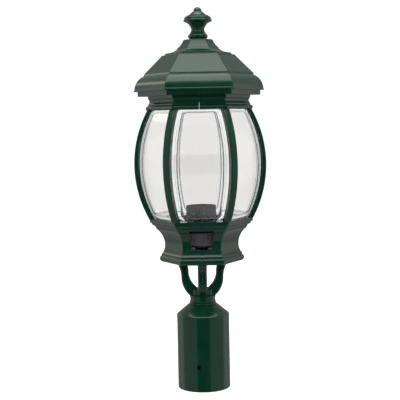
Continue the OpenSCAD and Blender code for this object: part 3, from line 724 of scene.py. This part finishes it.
def rib(name, angle):
    """A bowed rib: a section with a slightly crowned face, drafted sides and a back that seats on two panes,
    carried up the belly's arc."""
    face, side, back = 4.15 * MM, 4.6 * MM, GLASS_IN - 0.3 * MM
    half = outline((0, 0), (face * 0.55, 0.06 * MM), (face - 0.9 * MM, 0.2 * MM),
                   (face - 0.25 * MM, 0.5 * MM), (face, 1.2 * MM), (side, back + side * TAN30))
    section = outline(half, (0, back), (half[1:] * np.array([-1, 1]))[::-1])
    rise = np.linspace(Z_RING - 1 * MM, Z_NECK + 1 * MM, 61)
    radius = belly(rise)[None, :] - section[:, 1][:, None]
    across = np.broadcast_to(section[:, 0][:, None], radius.shape)
    grid = np.stack([radius, across, np.broadcast_to(rise[None, :], radius.shape)], axis=2)
    return turn_about_z(skin(name, grid, wrap_rows=True, capped=True), angle)


def bowed(foot, bow, top, count):
    """An arm's edge as count points: an arc bows out from foot and stands upright at bow, and a second arc
    leaves bow upright and flares out to top. Each arc's radius is (rise^2 + run^2) / (2 run)."""
    rise, run = bow[1] - foot[1], bow[0] - foot[0]
    radius = (rise ** 2 + run ** 2) / (2 * run)
    bow_arc = arc((bow[0] - radius, bow[1]), radius, -math.degrees(math.asin(rise / radius)), 0, 24)
    rise, run = top[1] - bow[1], top[0] - bow[0]
    radius = (rise ** 2 + run ** 2) / (2 * run)
    turn = math.degrees(math.asin(rise / radius))
    flare = arc((bow[0] + radius, bow[1]), radius, 180, 180 - turn, 16)
    return spread(outline(bow_arc, flare[1:]), count)


def arm(name, angle, near, far):
    """A curved arm: a section between an outer and an inner edge, from near to far across, with rounded
    edges."""
    flare, rows = 6.2 * MM, 40
    outer_r, inner_r = 26.8 * MM, 17.4 * MM
    outer = bowed((COLLAR_R + 0.4 * MM, Z_COLLAR - 1 * MM), (outer_r, Z_BOW),
                  (outer_r + flare, Z_UNDER), rows)
    inner = bowed((8.5 * MM, Z_HUB + 3 * MM), (inner_r, Z_BOW + 7 * MM), (inner_r + flare / 2, Z_UNDER), rows)
    outer = np.vstack([[[COLLAR_R - 3 * MM, Z_COLLAR - 4 * MM]], outer, outer[-1:] + [[0, 1 * MM]]])
    inner = np.vstack([[[3 * MM, Z_HUB - 4.5 * MM]], inner, inner[-1:] + [[0, 1 * MM]]])
    round_r = 3.3 * MM
    loop = []
    for side, depth, start in ((far, 1, 90), (near, 1, 180), (near, 0, 270), (far, 0, 0)):
        seam_side = side == near and abs(near) < 1 * MM
        radius = 0.35 * MM if seam_side else round_r
        for t in np.radians(np.linspace(start - 90, start, 9)):
            loop.append((side, radius, depth, math.cos(t), math.sin(t)))
    span = outer - inner
    unit = span / np.linalg.norm(span, axis=1, keepdims=True)
    towards_far = 1 if far > near else -1
    columns = []
    for side, radius, depth, cosine, sine in loop:
        inward = -radius * towards_far if side == far else radius * towards_far
        across = side + inward + radius * cosine * towards_far
        base = outer - unit * radius if depth else inner + unit * radius
        spot = base + unit * radius * sine
        columns.append(np.stack([spot[:, 0], np.full(len(spot), across), spot[:, 1]], axis=1))
    return turn_about_z(skin(name, np.array(columns), wrap_rows=True, capped=True), angle)


def collar_half(name):
    """Half of the stepped collar and of the hub over it, with the bolt's hole and its counterbore."""
    outer = outline((HUB_R - 0.4 * MM, Z_HUB), (HUB_R, Z_HUB - 0.5 * MM), (HUB_R, Z_COLLAR + 0.4 * MM),
                    (COLLAR_R - 0.6 * MM, Z_COLLAR - 0.4 * MM), (COLLAR_R, Z_COLLAR - 1.2 * MM),
                    (COLLAR_R, Z_COLLAR - 3 * MM), (COLLAR_R - 0.6 * MM, Z_HEAD + 6.4 * MM),
                    arc((COLLAR_R - 1 * MM, Z_HEAD + 4.2 * MM), 1.1 * MM, 60, -60, 6),
                    (COLLAR_R - 0.7 * MM, Z_HEAD + 2.9 * MM),
                    arc((COLLAR_R - 0.3 * MM, Z_HEAD + 1.4 * MM), 1.2 * MM, 50, -60, 6),
                    (COLLAR_R + 0.3 * MM, Z_HEAD))
    inner = spread(outline((10.8 * MM, Z_HUB), (10.8 * MM, Z_HUB - 4 * MM), (CABLE_HOLE_R, Z_HUB - 4 * MM),
                           (CABLE_HOLE_R, Z_HEAD)), len(outer))
    outer, inner = supported(outer, inner, 0.5 * MM, 1.6 * MM)
    way = half_round_way(40)
    return shell(name, carried(outer, way), carried(inner, way))


def cage_half(side, turn):
    """One half casting, made as the right half and turned to its side."""
    node = "cage_" + side
    edge = 0.45 * MM
    cage = [bevelled(turn_about_z(crown_half(node + "_crown"), turn), edge),
            bevelled(turn_about_z(gallery_half(node + "_gallery"), turn), edge)]
    for k in (-1, 0, 1):
        cage.append(rib(f"{node}_rib_{k + 2}", turn + 60 * k))
    half_width = 5.75 * MM
    arms = [bevelled(turn_about_z(collar_half(node + "_collar"), turn), 0.3 * MM, 2),
            arm(node + "_arm_side", turn, -half_width, half_width),
            arm(node + "_arm_front", turn - 90, ARM_SEAM, half_width),
            arm(node + "_arm_back", turn + 90, -ARM_SEAM, -half_width)]
    for parts, replaced in ((cage, node), (arms, "arms_" + side)):
        for part in parts:
            finish_piece(part, "green_paint", "lantern", replaced)


cage_half("right", 0)
cage_half("left", 180)


# ---- Panes ----

BEVEL_W = 8.5 * MM
BEVEL_DROP = 2.0 * MM
PANE_TRIM = 2.7 * MM
END_SHARE = 0.62
LINE_TURN = 4.5 * MM


def pane_offsets(length, crease):
    """Distances from one edge across a pane: close together at the bevel's inner line, wide apart
    elsewhere."""
    near = np.concatenate([np.linspace(0, crease - 0.3 * MM, 7),
                           [crease - 0.12 * MM, crease, crease + 0.12 * MM],
                           np.linspace(crease + 0.4 * MM, crease + LINE_TURN, 10)])
    middle = np.linspace(crease + LINE_TURN, length - crease - LINE_TURN, 16)[1:-1]
    return np.concatenate([near, middle, length - near[::-1]])


def pane_half(rise):
    """Half the width of a pane at a height."""
    return (belly(rise) - GLASS_IN) / 2 - PANE_TRIM


def pane_depth(x, rise):
    """How far a point lies inside a pane's outline, with the lines of equal depth turning the corners in
    arcs of radius LINE_TURN."""
    past_side = BEVEL_W + LINE_TURN - (pane_half(rise) - np.abs(x))
    past_end = BEVEL_W + LINE_TURN - np.minimum(rise - PANE_FOOT, PANE_TOP - rise) / END_SHARE
    corner = LINE_TURN - np.hypot(np.maximum(past_side, 0), np.maximum(past_end, 0)) + BEVEL_W
    plain = BEVEL_W + LINE_TURN - np.maximum(past_side, past_end)
    return np.where((past_side > 0) & (past_end > 0), corner, plain)


def pane(name, angle):
    """A bent pane. Its outer face follows the belly, its outline keeps one distance from the ribs' middle,
    and the outer face drops in a flat bevel along all four edges, whose inner line turns in small arcs."""
    rise = PANE_FOOT + pane_offsets(PANE_TOP - PANE_FOOT, BEVEL_W * END_SHARE)
    half = pane_half(rise)
    widest = half.max()
    across = pane_offsets(2 * widest, BEVEL_W)
    edge_gap = across[None, :] - widest
    offset = np.where(across < widest, across, 2 * widest - across)
    inside = np.minimum(offset, half[:, None] * offset / offset.max())
    x = np.sign(edge_gap) * (half[:, None] - inside)
    drop = BEVEL_DROP * (1 - np.clip(pane_depth(x, rise[:, None]) / BEVEL_W, 0, 1))
    face = glass_apothem(rise)[:, None] - drop
    back = np.broadcast_to((glass_apothem(rise) - GLASS_T)[:, None], face.shape)
    height = np.broadcast_to(rise[:, None], face.shape)
    outer = np.stack([x, -face, height], axis=2)
    inner = np.stack([x, -back, height], axis=2)
    piece = shell(name, outer, inner)
    spots = np.empty(len(piece.data.vertices) * 3)
    piece.data.vertices.foreach_get("co", spots)
    spots = spots.reshape(-1, 3)
    depth = piece.data.attributes.new("depth", "FLOAT", "POINT")
    depth.data.foreach_set("value", (pane_depth(spots[:, 0], spots[:, 2]) / MM).astype(np.float32))
    return turn_about_z(piece, angle)


PANES = ("pane_front", "pane_front_right", "pane_back_right", "pane_back", "pane_back_left",
         "pane_front_left")
for number, node in enumerate(PANES):
    finish_piece(pane(node + "_glass", 60 * number), "clear_glass", "lantern", node)


# ---- Roof and finial ----

def bent(start, corner, stop, steps):
    """A curve from start to stop that leaves towards corner: (1-s)^2 start + 2s(1-s) corner + s^2 stop."""
    share = np.linspace(0, 1, steps + 1)[:, None]
    ends = (1 - share) ** 2 * np.array(start) + share ** 2 * np.array(stop)
    return ends + 2 * share * (1 - share) * np.array(corner)


def roof():
    """The hooded roof: flared neck, shelf, thin step, slope, crease, round moulding, lip and hollow."""
    moulding_r, step_z = 19.8 * MM, Z_ROOF - 20.6 * MM
    slope_z = Z_LIP + 2 * MM + moulding_r
    slope_r = LIP_R - moulding_r * (1 - math.cos(math.radians(68))) - 0.4 * MM
    step_r = slope_r - 22 * MM
    neck_r = 18.3 * MM
    crease_r, crease_z = neck_r + 7.6 * MM, Z_ROOF - 10.2 * MM
    outer = outline((4 * MM, Z_ROOF), (neck_r - 0.4 * MM, Z_ROOF),
                    bent((neck_r + 0.2 * MM, Z_ROOF - 0.3 * MM), (neck_r + 2.2 * MM, Z_ROOF - 5.8 * MM),
                         (crease_r, crease_z), 9),
                    bent((crease_r + 0.2 * MM, crease_z - 0.7 * MM), (crease_r + 4.5 * MM, step_z + 4.6 * MM),
                         (step_r - 5.4 * MM, step_z + 3.9 * MM), 9),
                    (step_r - 5.1 * MM, step_z + 2.2 * MM), (step_r - 0.6 * MM, step_z + 1.1 * MM),
                    (step_r, step_z), (slope_r - 0.2 * MM, slope_z), (slope_r + 0.1 * MM, slope_z - 1.4 * MM),
                    arc((LIP_R - moulding_r, Z_LIP + 1.6 * MM), moulding_r - 0.5 * MM, 67, 3, 16),
                    (LIP_R, Z_LIP + 2 * MM), (LIP_R, Z_LIP))
    seat_r = BAND_R + 0.6 * MM
    inner = outline((4 * MM, Z_ROOF - 8 * MM), (neck_r - 4 * MM, Z_ROOF - 8 * MM),
                    (neck_r + 3 * MM, step_z - 3 * MM), (step_r - 4.8 * MM, step_z - 3 * MM),
                    (slope_r - 4.8 * MM, slope_z - 3 * MM),
                    (BAND_R - 8 * MM, Z_CROWN + 6 * MM), (BAND_R - 8 * MM, Z_CROWN + 0.3 * MM),
                    (seat_r, Z_CROWN + 0.3 * MM), (seat_r, Z_LIP))
    way = hexagon_way(CORNER_ROUND)
    outer, inner = supported(outer, spread(inner, len(outer)))
    return shell("roof", carried(apothem(outer), way), carried(apothem(inner), way), closed=True)


finish_piece(bevelled(roof(), 0.5 * MM), "green_paint", "roof", "roof_shell")


def finial():
    """The finial: bore, foot bead, waist, flared dish with a beaded edge, dome and button."""
    height = Z_TIP - Z_FINIAL
    edge_z = Z_FINIAL + height * 0.59
    foot_r, waist_r = 11.6 * MM, 8.2 * MM
    dome = FINIAL_R - 3.8 * MM
    bore = 3.06 * MM
    line = outline((0, Z_FINIAL + 13.5 * MM), (bore, Z_FINIAL + 13.5 * MM), (bore, Z_FINIAL),
                   (foot_r - 1 * MM, Z_FINIAL),
                   arc((foot_r - 2.1 * MM, Z_FINIAL + 3 * MM), 2.9 * MM, -60, 60, 10),
                   (waist_r + 1 * MM, Z_FINIAL + 7.6 * MM),
                   arc((waist_r + 5 * MM, Z_FINIAL + 11.4 * MM), 5 * MM, 222, 150, 12),
                   (waist_r + 3.2 * MM, Z_FINIAL + 18.2 * MM), (FINIAL_R - 2.6 * MM, edge_z - 2.6 * MM),
                   arc((FINIAL_R - 1.6 * MM, edge_z - 0.6 * MM), 1.6 * MM, -70, 70, 8),
                   arc((FINIAL_R - 2.4 * MM, edge_z + 2.4 * MM), 1.4 * MM, -40, 60, 6),
                   (dome, edge_z + 5 * MM), (dome - 4.6 * MM, edge_z + 7.4 * MM),
                   (dome - 5.2 * MM, Z_TIP - 7.8 * MM), (dome - 7.2 * MM, Z_TIP - 6.2 * MM),
                   arc((0, Z_TIP - 5.2 * MM), 5.2 * MM, 0, 90, 12))
    return turned("finial_knob", line, 96)


finish_piece(bevelled(finial(), 0.3 * MM, 2), "green_paint", "finial", "finial")


# ---- Lampholder ----

def fluted_way(flutes, per_flute, depth):
    """A circle whose stations dip inwards once per flute, as the sixth power of a cosine."""
    turn = np.linspace(0, 2 * math.pi, flutes * per_flute, endpoint=False)
    dip = depth * np.cos(turn * flutes / 2) ** 6
    return [station((math.cos(t), math.sin(t)), (-d * math.cos(t), -d * math.sin(t)))
            for t, d in zip(turn, dip)]


def skirt():
    """The lampholder's ribbed skirt, with a plain inside and a rounded rim."""
    wall, rim = 2.2 * MM, 0.8 * MM
    outer = outline((HOLDER_R - wall + 0.2 * MM, SKIRT_TOP),
                    arc((HOLDER_R - rim, SKIRT_TOP - rim), rim, 90, 0, 5), (HOLDER_R, SKIRT_FOOT))
    inner = outline([(HOLDER_R - wall, z) for z in outer[:, 1]])
    inner[0, 1] -= 0.3 * MM
    ribbed = fluted_way(36, 8, 0.55 * MM)
    plain = [station(np.array(s[0])) for s in ribbed]
    return shell("skirt", carried(outer, ribbed), carried(inner, plain), closed=True)


# The skirt's dark plastic is a painted shade, darker than the cap's for the light that reaches it through the
# glass.
finish_piece(skirt(), "holder_plastic", "lantern", "lampholder_skirt")

# ---- CAD nodes that keep their shape ----

# The cap's plastic is the skirt's made several times lighter: painted light for the cap, which stands in
# shade behind the gallery's window.
CAP_PLASTIC_PAINTED_LIGHT = holder_plastic("cap_plastic_painted_light", (0.125, 0.110, 0.135), (0.175, 0.156, 0.190))
SLOTS = {row["node"]: row["material_slot"] for row in frame["record"]["subparts"]}
for node, thing in frame["nodes"].items():
    if thing.hide_render:
        continue
    thing.data.materials.clear()
    thing.data.materials.append(CAP_PLASTIC_PAINTED_LIGHT if node == "lampholder_cap" else FINISHES[SLOTS[node]])


# ---- Stage and light ----

def add_panel(name, size, place, aim, strength, colour=(1, 1, 1)):
    """A soft rectangular light that faces a point."""
    data = bpy.data.lights.new(name, "AREA")
    data.shape = "RECTANGLE"
    data.size, data.size_y = size
    data.energy = strength
    data.color = colour
    lamp = bpy.data.objects.new(name, data)
    bpy.context.scene.collection.objects.link(lamp)
    way = Vector(aim) - Vector(place)
    lamp.matrix_world = Matrix.Translation(place) @ way.to_track_quat("-Z", "Y").to_matrix().to_4x4()
    return lamp


def stage_material(name, glow):
    """Pale paper with a faintly uneven tone, lit from within so that it stays bright."""
    material, tree, shader = new_material(name, Roughness=0.9)
    surface = placed(tree, PAINT_SURFACE, Ripple_Scale=300.0, Ripple=0.5, Wander_Scale=2.0, Wander=1.0)
    tree.links.new(ramp(tree, surface.outputs["Tone"], (0.92, 0.92, 0.92), (0.95, 0.95, 0.95)),
                   shader.inputs["Base Color"])
    shader.inputs["Emission Color"].default_value = (1, 1, 1, 1)
    shader.inputs["Emission Strength"].default_value = glow
    return material


def add_floor():
    """A pale floor that turns up into a backdrop well behind the lantern."""
    half, far, turn_r, top = 14.0, 5.0, 1.5, 6.0
    line = outline((-half, 0), (far - turn_r, 0), arc((far - turn_r, turn_r), turn_r, -90, 0, 16), (far, top))
    points = [(x, y, z) for y, z in line for x in (-half, half)]
    faces = [(2 * k, 2 * k + 1, 2 * k + 3, 2 * k + 2) for k in range(len(line) - 1)]
    floor = made("floor", points, faces)
    floor.data.materials.append(stage_material("pale_floor", 0.7))
    floor.visible_glossy = False
    floor.visible_diffuse = False
    return floor


def set_world(strength):
    """A plain white world of that strength."""
    world = bpy.data.worlds.new("studio")
    world.use_nodes = True
    world.node_tree.nodes["Background"].inputs["Color"].default_value = (1, 1, 1, 1)
    world.node_tree.nodes["Background"].inputs["Strength"].default_value = strength
    bpy.context.scene.world = world


def add_dark_card():
    """A black card behind the camera, which only reflections see: it keeps the front faces deep green."""
    half, near, foot, top = 0.95, -1.75, -1.2, 1.5
    corners = [(-half, near, foot), (half, near, foot), (half, near, top), (-half, near, top)]
    card = made("dark_card", corners, [(0, 1, 2, 3)])
    material, tree, shader = new_material("black_card", Roughness=1.0)
    surface = placed(tree, PAINT_SURFACE, Ripple_Scale=40.0, Ripple=1.0, Wander_Scale=3.0, Wander=1.0)
    colour = ramp(tree, surface.outputs["Tone"], (0.004, 0.004, 0.004), (0.008, 0.008, 0.008))
    tree.links.new(colour, shader.inputs["Base Color"])
    card.data.materials.append(material)
    card.visible_diffuse = False
    card.visible_shadow = False
    card.visible_camera = False


# Lights: size and place in metres, strength in watts.

add_floor()
add_dark_card()
set_world(0.3)
MIDDLE = (0, 0, 0.26)
add_panel("top panel", (2.4, 2.2), (0, -0.3, 2.0), MIDDLE, 34)
add_panel("left panel", (0.9, 2.4), (-1.9, 0.7, 0.3), MIDDLE, 2)
add_panel("right panel", (0.9, 2.4), (1.9, 0.7, 0.3), MIDDLE, 2)
add_panel("warm strip", (1.3, 0.26), (-1.8, 1.3, 1.15), MIDDLE, 1.3, (1.0, 0.90, 0.70))
front = add_panel("front fill", (1.2, 1.2), (0, -2.4, 0.9), MIDDLE, 22)
front.visible_glossy = False
bpy.context.scene.view_settings.view_transform = "Standard"
